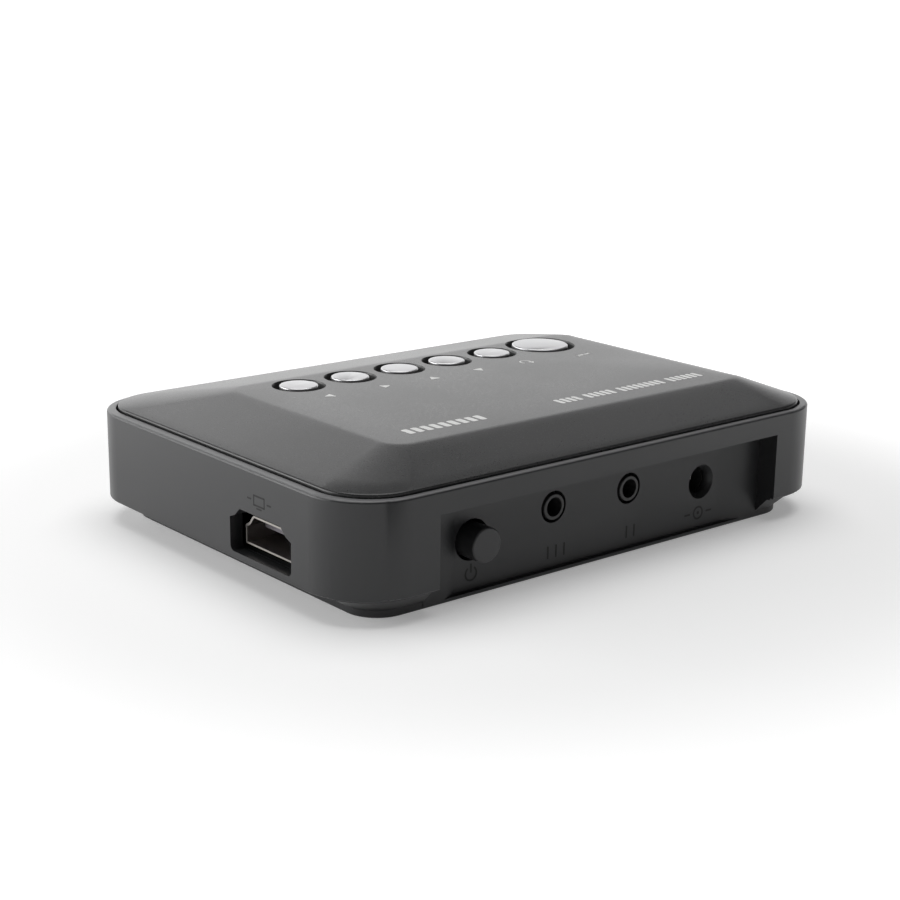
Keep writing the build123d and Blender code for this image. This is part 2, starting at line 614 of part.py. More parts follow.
def make_case_screws():
    return [
        screw(x, y, SCREW_SEAT_Z, True, CASE_SCREW_R, CASE_SCREW_LENGTH, CASE_SCREW_HEAD_R, CASE_SCREW_HEAD)
        for x, y in CASE_SCREWS
    ]


# ---- keys ----------------------------------------------------------------------------------------


def make_key_cap(x, radius):
    """A flat cap with a rounded rim, a flange that keeps it under the cover, and a short stem."""
    cap = post(0, 0, KEY_FLANGE_FOOT_Z, KEY_TOP_Z, radius)
    cap = fillet(cap.faces().sort_by(Axis.Z)[-1].edges(), KEY_EDGE_ROUND)
    cap += post(0, 0, KEY_FLANGE_FOOT_Z, KEY_FLANGE_TOP_Z, radius + KEY_FLANGE)
    cap += post(0, 0, PLUNGER_TOP_Z, KEY_FLANGE_TOP_Z, KEY_STEM_R)
    return Pos(x, KEY_ROW_Y, 0) * cap


def make_plunger(x):
    return post(x, KEY_ROW_Y, SWITCH_TOP_Z - PLUNGER_SUNK, PLUNGER_TOP_Z, PLUNGER_R)


def make_switch_bodies():
    bodies = []
    for x, radius in KEYS:
        half = SWITCH_SIDE / 2
        body = block(x - half, x + half, KEY_ROW_Y - half, KEY_ROW_Y + half, KEY_BOARD_TOP_Z, SWITCH_TOP_Z)
        body = fillet(body.edges().filter_by(Axis.Z), SWITCH_ROUND)
        well_foot = SWITCH_TOP_Z - PLUNGER_SUNK - KEY_TRAVEL - 0.3
        body -= post(x, KEY_ROW_Y, well_foot, SWITCH_TOP_Z + 1, PLUNGER_R + PLUNGER_CLEARANCE)
        bodies.append(body)
    return bodies


def make_key_board():
    right = KEY_SCREWS[0][0] + KEY_BOARD_END
    left = KEY_SCREWS[1][0] - KEY_BOARD_END
    board = block(left, right, KEY_BOARD_FRONT_Y, KEY_BOARD_REAR_Y, KEY_BOARD_Z, KEY_BOARD_TOP_Z)
    board += block(
        TONGUE_FROM_X, TONGUE_TO_X, -WALL_Y + TONGUE_FROM_FRONT, KEY_BOARD_FRONT_Y + 1,
        KEY_BOARD_Z, KEY_BOARD_TOP_Z,
    )
    corners = board.edges().filter_by(Axis.Z)
    board = fillet(corners, KEY_BOARD_CORNER)
    for x, y in KEY_SCREWS:
        board -= post(x, y, KEY_BOARD_Z - 1, KEY_BOARD_TOP_Z + 1, BOARD_HOLE_R)
    return board


def make_small_screws(places, seat_z):
    return [
        screw(x, y, seat_z, True, SMALL_SCREW_R, SMALL_SCREW_LENGTH, SMALL_SCREW_HEAD_R, SMALL_SCREW_HEAD)
        for x, y in places
    ]


# ---- rear sockets --------------------------------------------------------------------------------------


def make_power_key():
    """A round cap on the power switch, with a flat face and a square socket for the stem."""
    front = PANEL_Y + POWER_KEY_PROUD
    back = SOCKET_FACE_Y - 0.4
    cap = rod_y(POWER_X, POWER_AXIS_Z, back, front, POWER_KEY_R)
    cap = fillet(cap.faces().sort_by(Axis.Y)[-1].edges(), POWER_KEY_ROUND)
    return cap


def make_power_stem():
    half = POWER_STEM_SIDE / 2
    face_y = SOCKET_FACE_Y - POWER_BODY_SETBACK
    return block(
        POWER_X - half, POWER_X + half, face_y - POWER_STEM_SUNK, SOCKET_FACE_Y - 0.4,
        POWER_AXIS_Z - half, POWER_AXIS_Z + half,
    )


def make_power_switch():
    half = POWER_BODY_WIDTH / 2
    hole = POWER_STEM_SIDE / 2 + POWER_STEM_GAP
    face_y = SOCKET_FACE_Y - POWER_BODY_SETBACK
    body = block(
        POWER_X - half, POWER_X + half, face_y - POWER_BODY_LENGTH, face_y,
        POWER_AXIS_Z - POWER_BODY_DROP, MAIN_BOARD_Z,
    )
    body = fillet(body.edges().filter_by(Axis.Y), SWITCH_ROUND)
    bore_back = face_y - POWER_STEM_SUNK - POWER_TRAVEL - 0.5
    body -= block(
        POWER_X - hole, POWER_X + hole, bore_back, face_y + 1, POWER_AXIS_Z - hole, POWER_AXIS_Z + hole
    )
    return body


def make_jack(x):
    """A sunk stereo jack: a body let into the board's edge and a round nose through the panel."""
    half = JACK_BODY_WIDTH / 2
    back = SOCKET_FACE_Y - JACK_BODY_LENGTH
    top = MAIN_BOARD_TOP_Z + JACK_EAR_THICKNESS
    body = block(x - half, x + half, back, SOCKET_FACE_Y, JACK_AXIS_Z - JACK_BODY_DROP, top)
    body = fillet(body.edges().filter_by(Axis.Y), SWITCH_ROUND)
    wide = half + JACK_BOARD_GAP + JACK_EAR
    body += block(x - wide, x + wide, back, back + JACK_EAR_LENGTH, MAIN_BOARD_TOP_Z, top)
    nose = rod_y(x, JACK_AXIS_Z, SOCKET_FACE_Y - 1, PANEL_Y + JACK_NOSE_PROUD, JACK_NOSE_R)
    nose = fillet(nose.faces().sort_by(Axis.Y)[-1].edges(), JACK_NOSE_PROUD)
    front = PANEL_Y + JACK_NOSE_PROUD
    return body + nose - rod_y(x, JACK_AXIS_Z, front - JACK_BORE_LENGTH, front + 1, JACK_BORE_R)


def make_dc_jack():
    half = DC_BODY_WIDTH / 2
    body = block(
        DC_X - half, DC_X + half, SOCKET_FACE_Y - DC_BODY_LENGTH, SOCKET_FACE_Y,
        DC_AXIS_Z - DC_BODY_DROP, MAIN_BOARD_Z,
    )
    body = fillet(body.edges().filter_by(Axis.Y), SWITCH_ROUND)
    return body - rod_y(DC_X, DC_AXIS_Z, SOCKET_FACE_Y - DC_BORE_LENGTH, SOCKET_FACE_Y + 1, DC_BORE_R)


def make_dc_pin():
    root = SOCKET_FACE_Y - DC_BORE_LENGTH
    pin = rod_y(DC_X, DC_AXIS_Z, root, root + DC_PIN_LENGTH, DC_PIN_R)
    return fillet(pin.faces().sort_by(Axis.Y)[-1].edges(), DC_PIN_R * 0.5)


# ---- display, data and card sockets ------------------------------------------------------------------------


def make_display_shell():
    front = INNER_X + DISPLAY_IN_WALL
    back = front - DISPLAY_DEPTH
    shell = display_prism(0, 0, back, front)
    shell = fillet(shell.edges().filter_by(Axis.X), 0.4)
    hollow = display_prism(-DISPLAY_METAL, -DISPLAY_METAL, back + DISPLAY_METAL, front + 1)
    return shell - hollow


def make_display_tongue():
    front = INNER_X + DISPLAY_IN_WALL
    back = front - DISPLAY_DEPTH + DISPLAY_METAL
    foot = display_foot_z()
    half = DISPLAY_TONGUE_WIDTH / 2
    level = foot + DISPLAY_TONGUE_RISE
    blade = block(
        back, front - DISPLAY_TONGUE_SETBACK, DISPLAY_Y - half, DISPLAY_Y + half,
        level - DISPLAY_TONGUE_THICKNESS / 2, level + DISPLAY_TONGUE_THICKNESS / 2,
    )
    root = display_prism(-DISPLAY_METAL - 0.1, -DISPLAY_METAL - 0.1, back, back + DISPLAY_TONGUE_ROOT)
    return blade + root


def make_usb_shell():
    front = -INNER_X + SIDE_SOCKET_SETBACK
    half = USB_WIDTH / 2
    foot = MAIN_BOARD_Z - USB_HEIGHT
    shell = block(front, front + USB_DEPTH, USB_Y - half, USB_Y + half, foot, MAIN_BOARD_Z)
    return shell - block(
        front - 1, front + USB_DEPTH - USB_METAL, USB_Y - half + USB_METAL, USB_Y + half - USB_METAL,
        foot + USB_METAL, MAIN_BOARD_Z - USB_METAL,
    )


def make_usb_tongue():
    front = -INNER_X + SIDE_SOCKET_SETBACK
    back = front + USB_DEPTH - USB_METAL
    inner_top = MAIN_BOARD_Z - USB_METAL
    inner_foot = MAIN_BOARD_Z - USB_HEIGHT + USB_METAL
    half = USB_TONGUE_WIDTH / 2
    level = inner_top - USB_TONGUE_DROP
    blade = block(
        front + USB_TONGUE_SETBACK, back, USB_Y - half, USB_Y + half,
        level - USB_TONGUE_THICKNESS, level,
    )
    side = USB_WIDTH / 2 - USB_METAL - 0.1
    root = block(
        back - USB_TONGUE_ROOT, back, USB_Y - side, USB_Y + side, inner_foot + 0.1, inner_top - 0.1
    )
    return blade + root


def make_card_shell():
    front = -INNER_X + SIDE_SOCKET_SETBACK
    half = CARD_WIDTH / 2
    foot = MAIN_BOARD_Z - CARD_HEIGHT
    shell = block(front, front + CARD_DEPTH, CARD_Y - half, CARD_Y + half, foot, MAIN_BOARD_Z)
    return shell - block(
        front - 1, front + CARD_DEPTH - CARD_METAL, CARD_Y - half + CARD_METAL, CARD_Y + half - CARD_METAL,
        foot + CARD_METAL, MAIN_BOARD_Z + 1,
    )


def make_card_base():
    """The plastic contact block that closes the back of the card socket."""
    front = -INNER_X + SIDE_SOCKET_SETBACK
    back = front + CARD_DEPTH - CARD_METAL
    side = CARD_WIDTH / 2 - CARD_METAL - 0.05
    foot = MAIN_BOARD_Z - CARD_HEIGHT + CARD_METAL
    base = block(front + 1, back, CARD_Y - side, CARD_Y + side, MAIN_BOARD_Z - CARD_BASE_THICKNESS, MAIN_BOARD_Z)
    return base + block(back - CARD_BASE_BACK, back, CARD_Y - side, CARD_Y + side, foot, MAIN_BOARD_Z)


# ---- boards and what they carry ------------------------------------------------------------------------------


def make_main_board():
    board = block(
        -MAIN_BOARD_END_X, MAIN_BOARD_END_X, MAIN_BOARD_FRONT_Y, MAIN_BOARD_REAR_Y,
        MAIN_BOARD_Z, MAIN_BOARD_TOP_Z,
    )
    board &= extrude(even_outline(FRAME_WALL + MAIN_BOARD_NOTCH, 0), FRAME_TOP_Z)
    for x, y in MAIN_BOARD_SCREWS:
        board -= post(x, y, MAIN_BOARD_Z - 1, MAIN_BOARD_TOP_Z + 1, BOARD_HOLE_R)
    for x, y in CASE_SCREWS:
        board -= post(x, y, MAIN_BOARD_Z - 1, MAIN_BOARD_TOP_Z + 1, COVER_BOSS_R + MAIN_BOARD_NOTCH)
    for x in (JACK_A_X, JACK_B_X):
        half = JACK_BODY_WIDTH / 2 + JACK_BOARD_GAP
        back = SOCKET_FACE_Y - JACK_BODY_LENGTH - JACK_BOARD_GAP
        board -= block(x - half, x + half, back, WALL_Y, MAIN_BOARD_Z - 1, MAIN_BOARD_TOP_Z + 1)
    return board


def make_processor():
    half = CHIP_SIDE / 2
    foot = MAIN_BOARD_Z - CHIP_THICKNESS
    chip = block(CHIP_X - half, CHIP_X + half, CHIP_Y - half, CHIP_Y + half, foot, MAIN_BOARD_Z)
    return chamfer(chip.faces().sort_by(Axis.Z)[0].edges(), 0.3)


def make_heat_sink():
    half = SINK_SIDE / 2
    top = MAIN_BOARD_Z - CHIP_THICKNESS
    sink = block(CHIP_X - half, CHIP_X + half, CHIP_Y - half, CHIP_Y + half, top - SINK_BASE, top)
    pitch = (SINK_SIDE - SINK_FIN_WIDTH) / (SINK_FINS - 1)
    for i in range(SINK_FINS):
        x = CHIP_X - half + i * pitch
        sink += block(x, x + SINK_FIN_WIDTH, CHIP_Y - half, CHIP_Y + half, top - SINK_HEIGHT, top)
    return sink


def make_memory_chips():
    chips = []
    for side in (-1, 1):
        y = MEMORY_Y + side * MEMORY_PITCH / 2
        chip = block(
            MEMORY_X - MEMORY_WIDTH / 2, MEMORY_X + MEMORY_WIDTH / 2,
            y - MEMORY_LENGTH / 2, y + MEMORY_LENGTH / 2,
            MAIN_BOARD_Z - MEMORY_THICKNESS, MAIN_BOARD_Z,
        )
        chips.append(chamfer(chip.faces().sort_by(Axis.Z)[0].edges(), 0.2))
    return chips


def make_flash_chip():
    chip = block(
        FLASH_X - FLASH_WIDTH / 2, FLASH_X + FLASH_WIDTH / 2,
        FLASH_Y - FLASH_LENGTH / 2, FLASH_Y + FLASH_LENGTH / 2,
        MAIN_BOARD_Z - FLASH_THICKNESS, MAIN_BOARD_Z,
    )
    return chamfer(chip.faces().sort_by(Axis.Z)[0].edges(), 0.2)


def make_crystal():
    can = SlotOverall(CRYSTAL_LENGTH, CRYSTAL_WIDTH)
    can = extrude(Pos(CRYSTAL_X, CRYSTAL_Y, MAIN_BOARD_Z - CRYSTAL_HEIGHT) * can, CRYSTAL_HEIGHT)
    return fillet(can.faces().sort_by(Axis.Z)[0].edges(), 0.4)


def make_power_coils():
    coils = []
    for side in (0, 1):
        x = COIL_X + side * COIL_PITCH
        half = COIL_SIDE / 2
        coil = block(
            x - half, x + half, COIL_Y - half, COIL_Y + half,
            MAIN_BOARD_Z - COIL_HEIGHT, MAIN_BOARD_Z,
        )
        coils.append(fillet(coil.edges().filter_by(Axis.Z), COIL_ROUND))
    return coils


def make_capacitors():
    cans = []
    for i in range(CAP_COUNT):
        x = CAP_FIRST_X + i * CAP_PITCH
        can = post(x, CAP_Y, MAIN_BOARD_Z - CAP_HEIGHT, MAIN_BOARD_Z, CAP_R)
        cans.append(fillet(can.faces().sort_by(Axis.Z)[0].edges(), CAP_CRIMP))
    return cans


def ribbon_places():
    key_y = KEY_BOARD_REAR_Y - RIBBON_KEY_EDGE
    return [(KEY_BOARD_REAR_Y + RIBBON_REACH, MAIN_BOARD_TOP_Z), (key_y, KEY_BOARD_TOP_Z)]


def make_ribbon_sockets():
    half_x = RIBBON_SOCKET_WIDTH / 2
    half_y = RIBBON_SOCKET_DEPTH / 2
    sockets = []
    for y, z in ribbon_places():
        body = block(
            RIBBON_X - half_x, RIBBON_X + half_x, y - half_y, y + half_y, z, z + RIBBON_SOCKET_HEIGHT
        )
        slot = RIBBON_THICKNESS / 2 + 0.02
        wide = RIBBON_WIDTH / 2 + 0.1
        body -= block(RIBBON_X - wide, RIBBON_X + wide, y - slot, y + slot, z + 0.5, z + 10)
        sockets.append(body)
    return sockets


def make_ribbon():
    """A flat cable that rises from one board's socket, turns over and drops into the other's."""
    (main_y, main_z), (key_y, key_z) = ribbon_places()
    path = FilletPolyline(
        (main_y, main_z + 0.5), (main_y, RIBBON_TOP_Z), (key_y, RIBBON_TOP_Z), (key_y, key_z + 0.5),
        radius=RIBBON_BEND,
    )
    strip = trace(path, RIBBON_THICKNESS)
    plane = Plane(origin=(RIBBON_X - RIBBON_WIDTH / 2, 0, 0), x_dir=(0, 1, 0), z_dir=(1, 0, 0))
    return extrude(plane * strip, RIBBON_WIDTH)


# ---- remote receiver ---------------------------------------------------------------------------------------------


def make_ir_window():
    """A dark lens let into the front wall, with a flange behind the wall."""
    lens = window_shape(0, FRAME_WALL + WINDOW_PROUD, -WALL_Y - WINDOW_PROUD)
    return lens + window_shape(WINDOW_FLANGE, WINDOW_FLANGE_THICKNESS, -INNER_Y)


def make_ir_receiver():
    back = -INNER_Y + WINDOW_FLANGE_THICKNESS + 0.3 + RECEIVER_LENS_PROUD + RECEIVER_THICKNESS
    front = back - RECEIVER_THICKNESS
    half = RECEIVER_WIDTH / 2
    foot = KEY_BOARD_Z - RECEIVER_HEIGHT
    body = block(RECEIVER_X - half, RECEIVER_X + half, front, back, foot, KEY_BOARD_Z)
    level = foot + RECEIVER_HEIGHT * 0.55
    radius = (RECEIVER_LENS_R**2 + RECEIVER_LENS_PROUD**2) / (2 * RECEIVER_LENS_PROUD)
    lens = Pos(RECEIVER_X, front - RECEIVER_LENS_PROUD + radius, level) * Sphere(radius)
    lens &= block(
        RECEIVER_X - half, RECEIVER_X + half, front - RECEIVER_LENS_PROUD - 1, front + 0.5,
        foot, KEY_BOARD_Z,
    )
    return body + lens


def make_status_led():
    """A small round lamp lying on its side, its two legs bent up to the board."""
    nose = -INNER_Y + WINDOW_FLANGE_THICKNESS + 0.3
    back = nose + LED_LENGTH
    body = rod_y(LED_X, WINDOW_Z, nose + LED_R, back, LED_R)
    body += Pos(LED_X, nose + LED_R, WINDOW_Z) * Sphere(LED_R)
    body += rod_y(LED_X, WINDOW_Z, back - LED_RIM_LENGTH, back, LED_R + LED_RIM)
    for side in (-1, 1):
        x = LED_X + side * LED_LEG_SPREAD
        half = LED_LEG / 2
        leg = block(x - half, x + half, back - 0.2, back + LED_LEG_BACK, WINDOW_Z - half, WINDOW_Z + half)
        leg += block(
            x - half, x + half, back + LED_LEG_BACK - LED_LEG, back + LED_LEG_BACK,
            WINDOW_Z - half, KEY_BOARD_Z,
        )
        body += leg
    return body


# ---- writing out -------------------------------------------------------------------------------------------------------


def as_part(piece):
    """Several separate solids of one kind become one node."""
    if isinstance(piece, list):
        return Compound(children=[solid for item in piece for solid in item.solids()])
    return piece


PIECES = {
    "side_frame": make_side_frame(),
    "top_cover": make_top_cover(),
    "bottom_cover": make_bottom_cover(),
    "case_screws": make_case_screws(),
    "key_switch_bodies": make_switch_bodies(),
    "key_board": make_key_board(),
    "key_board_screws": make_small_screws(KEY_SCREWS, KEY_BOARD_Z),
    "power_key": make_power_key(),
    "power_switch_stem": make_power_stem(),
    "power_switch_body": make_power_switch(),
    "stereo_jack_a": make_jack(JACK_A_X),
    "stereo_jack_b": make_jack(JACK_B_X),
    "dc_jack_body": make_dc_jack(),
    "dc_jack_pin": make_dc_pin(),
    "display_socket_shell": make_display_shell(),
    "display_socket_tongue": make_display_tongue(),
    "usb_socket_shell": make_usb_shell(),
    "usb_socket_tongue": make_usb_tongue(),
    "card_socket_shell": make_card_shell(),
    "card_socket_base": make_card_base(),
    "main_board": make_main_board(),
    "main_board_screws": make_small_screws(MAIN_BOARD_SCREWS, MAIN_BOARD_Z),
    "processor": make_processor(),
    "heat_sink": make_heat_sink(),
    "memory_chips": make_memory_chips(),
    "flash_chip": make_flash_chip(),
    "clock_crystal": make_crystal(),
    "power_coils": make_power_coils(),
    "capacitors": make_capacitors(),
    "ribbon_cable": make_ribbon(),
    "ribbon_sockets": make_ribbon_sockets(),
    "ir_window": make_ir_window(),
    "ir_receiver": make_ir_receiver(),
    "status_led": make_status_led(),
}
for number, (key_x, key_r) in enumerate(KEYS, start=1):
    PIECES[f"key_cap_{number}"] = make_key_cap(key_x, key_r)
    PIECES[f"switch_plunger_{number}"] = make_plunger(key_x)

os.makedirs("parts", exist_ok=True)
for node, piece in PIECES.items():
    export_step(as_part(piece), f"parts/{node}.step")
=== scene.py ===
import math

import bpy
from mathutils import Matrix, Vector


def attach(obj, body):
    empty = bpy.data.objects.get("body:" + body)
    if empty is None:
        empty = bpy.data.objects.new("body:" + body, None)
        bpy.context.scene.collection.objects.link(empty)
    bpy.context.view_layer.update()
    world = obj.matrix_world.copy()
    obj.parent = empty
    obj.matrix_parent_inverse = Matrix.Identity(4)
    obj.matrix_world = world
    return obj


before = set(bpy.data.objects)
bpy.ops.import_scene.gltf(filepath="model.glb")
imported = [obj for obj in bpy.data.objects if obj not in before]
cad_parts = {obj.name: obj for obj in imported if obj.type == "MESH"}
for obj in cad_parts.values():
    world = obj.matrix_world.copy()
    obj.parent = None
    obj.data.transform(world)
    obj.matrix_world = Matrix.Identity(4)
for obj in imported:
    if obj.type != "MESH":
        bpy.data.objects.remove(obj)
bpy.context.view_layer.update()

# ---------------------------------------------------------------------------------------
# Base: one injection-moulded tray in charcoal ABS with a spark-eroded grain. It carries
# the connector panel in its recess, stands on a raised foot and is screwed to the lid.
MM = 0.001
CREASE_ANGLE = 30


class Wire:
    """One socket of a node tree. Arithmetic on it adds Math nodes."""

    def __init__(self, tree, socket):
        self.tree, self.socket = tree, socket

    def node(self, kind, settings=(), sockets=(), out=0):
        """Adds a node: first its settings, then its sockets' values or links."""
        made = self.tree.nodes.new(kind)
        for key, value in dict(settings).items():
            if key == "stops":
                ramp = made.color_ramp.elements
                ends = [value[0], value[-1]]
                for stop, (at, shade) in zip(list(ramp), ends):
                    stop.position, stop.color = at, shade
                for at, shade in value[1:-1]:
                    ramp.new(at).color = shade
            else:
                setattr(made, key, value)
        for key, value in dict(sockets).items():
            if isinstance(value, Wire):
                self.tree.links.new(value.socket, made.inputs[key])
            else:
                made.inputs[key].default_value = value
        return Wire(self.tree, made.outputs[out])

    def maths(self, operation, *terms):
        return self.node("ShaderNodeMath", {"operation": operation}, enumerate(terms))

    def __add__(self, other):
        return self.maths("ADD", self, other)

    def __sub__(self, other):
        return self.maths("SUBTRACT", self, other)

    def __rsub__(self, other):
        return self.maths("SUBTRACT", other, self)

    def __mul__(self, other):
        return self.maths("MULTIPLY", self, other)

    __radd__, __rmul__ = __add__, __mul__

    def axis(self, letter):
        """One coordinate of a place."""
        return self.node("ShaderNodeSeparateXYZ", {}, {0: self}, "XYZ".index(letter))

    def noise(self, size, detail=2.0, rough=0.5):
        """A cloudy value from 0 to 1, with blotches of that size in metres."""
        settings = {"Vector": self, "Scale": 1 / size, "Detail": detail, "Roughness": rough}
        return self.node("ShaderNodeTexNoise", {}, settings)

    def step(self, low, high):
        """0 below low, 1 above high, and a soft rise between."""
        soft = {"interpolation_type": "SMOOTHSTEP"}
        return self.node("ShaderNodeMapRange", soft, {0: self, 1: low, 2: high})

    def mix(self, low, high):
        """A colour from low to high, by this value."""
        return self.node("ShaderNodeMix", {"data_type": "RGBA"}, {0: self, 6: low, 7: high}, 2)

    def bump(self, depth):
        """A normal from this height, depth metres deep."""
        return self.node("ShaderNodeBump", {}, {"Strength": 1.0, "Distance": depth, "Height": self})


def tone(red, green=None, blue=None):
    """A colour from linear values; one value alone gives a grey."""
    return (red, red if green is None else green, red if blue is None else blue, 1.0)


def start_finish(name, **fixed):
    """A new material, its place on the piece, and a call that links what varies."""
    material = bpy.data.materials.new(name)
    material.use_nodes = True
    tree = material.node_tree
    shader = tree.nodes["Principled BSDF"]
    for socket, value in fixed.items():
        shader.inputs[socket.replace("_", " ")].default_value = value

    def vary(**links):
        for socket, wire in links.items():
            tree.links.new(wire.socket, shader.inputs[socket.replace("_", " ")])
        return material

    return Wire(tree, tree.nodes.new("ShaderNodeTexCoord").outputs["Object"]), vary


def moulded_plastic(name, shade, rough, grain, depth, spread=0.12, **fixed):
    """Moulded plastic: cloudy flow marks, a fine even grain and rubbed patches."""
    place, vary = start_finish(name, **fixed)
    cloud = place.noise(14 * MM, 3.0)
    fine = place.noise(grain, 2.0, 0.6)
    lighter = tone(*[value * (1 + spread) for value in shade[:3]])
    darker = tone(*[value * (1 - spread) for value in shade[:3]])
    return vary(
        Base_Color=(cloud * 0.5 + fine * 0.5).mix(darker, lighter),
        Roughness=cloud * 0.10 + fine * 0.06 + (rough - 0.08),
        Normal=fine.bump(depth),
    )


def dress(nodes, material):
    """Gives CAD pieces their finish, with triangles joined and curves shaded smooth."""
    for node in nodes.split():
        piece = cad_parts[node]
        for slot in piece.material_slots:
            slot.material = material
        piece.data.shade_smooth()
        piece.modifiers.new("Joined", "WELD").merge_threshold = 0.001 * MM
        piece.modifiers.new("Creases", "EDGE_SPLIT").split_angle = math.radians(CREASE_ANGLE)


base_plastic = moulded_plastic(
    "base_plastic", tone(0.021, 0.0215, 0.023), 0.44, 0.16 * MM, 0.006 * MM
)
dress("bottom_cover", base_plastic)

# ---------------------------------------------------------------------------------------
# Marks on the connector panel and over the picture socket: shallow strokes cut in the mould, drawn as
# thin strips coloured darker than the panel, a painted shade for the grooves. Each is a plain symbol
# or a row of short dashes.
PANEL_Y = 38.6 * MM
MARK_Z = 3.8 * MM
STROKE = 0.36 * MM
MARK_THICK = 0.03 * MM
POWER_SIGN_X, INLET_SIGN_X = 30.4 * MM, -27.4 * MM
JACK_A_SIGN_X, JACK_B_SIGN_X = 10.2 * MM, -8.8 * MM
END_WALL_X = 60 * MM


def begin_piece():
    """Nothing stays selected, so that the next operator acts on the new piece alone."""
    if bpy.context.object and bpy.context.object.mode != "OBJECT":
        bpy.ops.object.mode_set(mode="OBJECT")
    bpy.ops.object.select_all(action="DESELECT")


def choose(piece, faces=None, edges=None):
    """Opens the piece in edit mode with the faces or edges chosen by place and direction."""
    bpy.ops.object.mode_set(mode="OBJECT")
    mesh = piece.data
    for group in (mesh.vertices, mesh.edges, mesh.polygons):
        group.foreach_set("select", [False] * len(group))
    if faces:
        for face in mesh.polygons:
            face.select = faces(face.center, face.normal)
    if edges:
        for edge in mesh.edges:
            low, high = (mesh.vertices[i].co for i in edge.vertices)
            edge.select = edges((low + high) / 2, (high - low).normalized())
    bpy.ops.object.mode_set(mode="EDIT")
    bpy.ops.mesh.select_mode(type="FACE" if faces else "EDGE")


def block(place, size, across="Z", corner=0.0):
    """A block at a place; the edges that run along one axis may be rounded."""
    begin_piece()
    bpy.ops.mesh.primitive_cube_add(size=1, location=place, scale=size)
    bpy.ops.object.transform_apply()
    piece = bpy.context.object
    if corner:
        along = "XYZ".index(across)
        choose(piece, edges=lambda middle, way: abs(way[along]) > 0.9)
        bpy.ops.mesh.bevel(offset=corner, segments=3)
        bpy.ops.object.mode_set(mode="OBJECT")
    return piece


def arc(centre, right, up, radius, stroke, thick, start, sweep):
    """A curved stroke in the plane of right and up, swept from start, in degrees."""
    begin_piece()
    right, up = Vector(right), Vector(up)
    out = right.cross(up)
    turn = math.radians(start)
    radial = right * math.cos(turn) + up * math.sin(turn)
    along = out.cross(radial)
    bpy.ops.mesh.primitive_cube_add(size=1)
    piece = bpy.context.object
    turned = Matrix((radial * stroke, along * 0.01 * MM, out * thick)).transposed().to_4x4()
    turned.translation = Vector(centre) + radial * radius
    piece.matrix_world = turned
    bpy.context.view_layer.update()
    bpy.ops.object.transform_apply()
    choose(piece, faces=lambda middle, normal: normal.dot(along) > 0.9)
    steps = max(6, int(sweep / 12))
    bpy.ops.mesh.spin(steps=steps, angle=-math.radians(sweep), center=centre, axis=out)
    bpy.ops.object.mode_set(mode="OBJECT")
    return piece


def wedge(centre, way, radius, thick):
    """A small flat triangle with softened corners that points along way, in degrees."""
    begin_piece()
    bpy.ops.mesh.primitive_cylinder_add(
        vertices=3, radius=radius, depth=thick, location=centre,
        rotation=(0, 0, math.radians(way - 90)),
    )
    bpy.ops.object.transform_apply()
    piece = bpy.context.object
    choose(piece, edges=lambda middle, along: abs(along.z) > 0.9)
    bpy.ops.mesh.bevel(offset=0.18 * radius, segments=3)
    bpy.ops.object.mode_set(mode="OBJECT")
    return piece


def settle(parts, name, material, body):
    """Joins the parts as one named piece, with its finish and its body."""
    begin_piece()
    for part in parts:
        part.select_set(True)
    bpy.context.view_layer.objects.active = parts[0]
    if len(parts) > 1:
        bpy.ops.object.join()
    piece = bpy.context.object
    bpy.ops.object.mode_set(mode="EDIT")
    bpy.ops.mesh.select_all(action="SELECT")
    bpy.ops.mesh.remove_doubles(threshold=0.0005 * MM)
    bpy.ops.mesh.normals_make_consistent(inside=False)
    bpy.ops.object.mode_set(mode="OBJECT")
    piece.name = piece.data.name = name
    piece.data.materials.clear()
    piece.data.materials.append(material)
    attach(piece, body)
    return piece


# painted shade: the mark strips are coloured darker than the panel, for the shade in engraved grooves
mark_place, mark_vary = start_finish("mark_groove_shade", Specular_IOR_Level=0.34)
mark_grain = mark_place.noise(0.2 * MM)
mark_groove_shade = mark_vary(
    Base_Color=mark_grain.mix(tone(0.006), tone(0.014)), Roughness=mark_grain * 0.2 + 0.5
)


def panel_dash(x, z, wide, high):
    """A straight stroke on the panel."""
    return block((x, PANEL_Y, z), (wide, MARK_THICK, high), "Y", min(wide, high) * 0.3)


def panel_arc(x, radius, start, sweep):
    """A curved stroke on the panel, about a place on the marks' line."""
    across, up = (-1, 0, 0), (0, 0, 1)
    return arc((x, PANEL_Y, MARK_Z), across, up, radius, STROKE, MARK_THICK, start, sweep)


power_sign = [
    panel_arc(POWER_SIGN_X, 1.25 * MM, 125, 290),
    panel_dash(POWER_SIGN_X, MARK_Z + 1.0 * MM, STROKE, 1.7 * MM),
]
settle(power_sign, "mark_power", mark_groove_shade, "casing")
for name, middle, steps in (
    ("mark_jack_a", JACK_A_SIGN_X, (-2.0, 0, 2.0)),
    ("mark_jack_b", JACK_B_SIGN_X, (-1.0, 1.0)),
):
    dashes = [panel_dash(middle + step * MM, MARK_Z, STROKE, 2.4 * MM) for step in steps]
    settle(dashes, name, mark_groove_shade, "casing")
inlet_sign = [
    panel_arc(INLET_SIGN_X, 1.2 * MM, 0, 359.9),
    panel_dash(INLET_SIGN_X, MARK_Z, 0.6 * MM, 0.6 * MM),
    panel_dash(INLET_SIGN_X + 3.0 * MM, MARK_Z, 1.6 * MM, STROKE),
    panel_dash(INLET_SIGN_X - 3.0 * MM, MARK_Z, 1.6 * MM, STROKE),
]
settle(inlet_sign, "mark_dc_inlet", mark_groove_shade, "casing")


def wall_dash(y, z, wide, high):
    """A straight stroke on the end wall."""
    return block((END_WALL_X, y, z), (0.02 * MM, wide, high), "X", min(wide, high) * 0.3)


